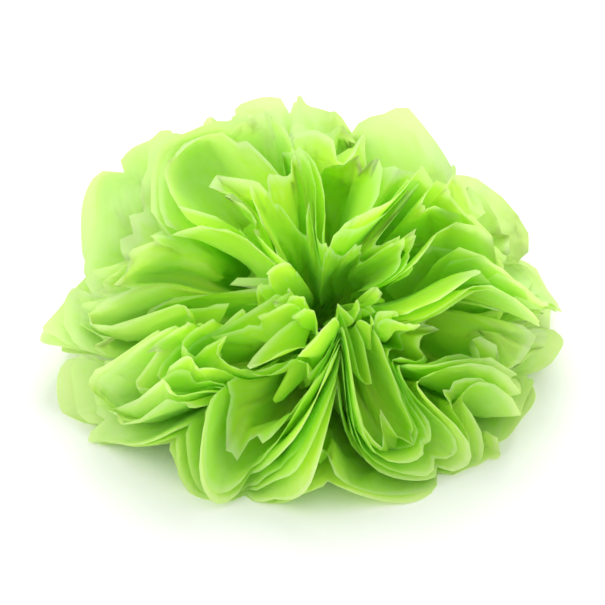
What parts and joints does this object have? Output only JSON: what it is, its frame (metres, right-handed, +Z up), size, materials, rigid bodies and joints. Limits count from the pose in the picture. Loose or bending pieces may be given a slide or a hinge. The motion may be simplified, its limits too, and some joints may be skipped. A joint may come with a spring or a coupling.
{
  "type": "tissue paper pom pom",
  "caption": "Round fluffy flower of pleated tissue sheets, gathered at a wire tie and fanned out in nested petal layers, resting on a table.",
  "frame": {"origin": "bottom centre of the bounding box, on the table", "axes": "+Z up from the table, the wire's pleat line lies along X, -Y is the side whose petals are pressed down to the table and +Y the side that stands up"},
  "size_m": [0.204, 0.2016, 0.1078],
  "materials": {
    "tissue_paper": "matt, thin, lime green tissue",
    "steel_wire": "thin plain wire"
  },
  "bodies": {
    "root": {"sheet_01": "tissue_paper", "sheet_02": "tissue_paper", "sheet_03": "tissue_paper", "sheet_04": "tissue_paper", "sheet_05": "tissue_paper", "sheet_06": "tissue_paper", "sheet_07": "tissue_paper", "sheet_08": "tissue_paper", "sheet_09": "tissue_paper", "sheet_10": "tissue_paper", "sheet_11": "tissue_paper", "sheet_12": "tissue_paper", "tie_wire": "steel_wire"}
  },
  "joints": []
}
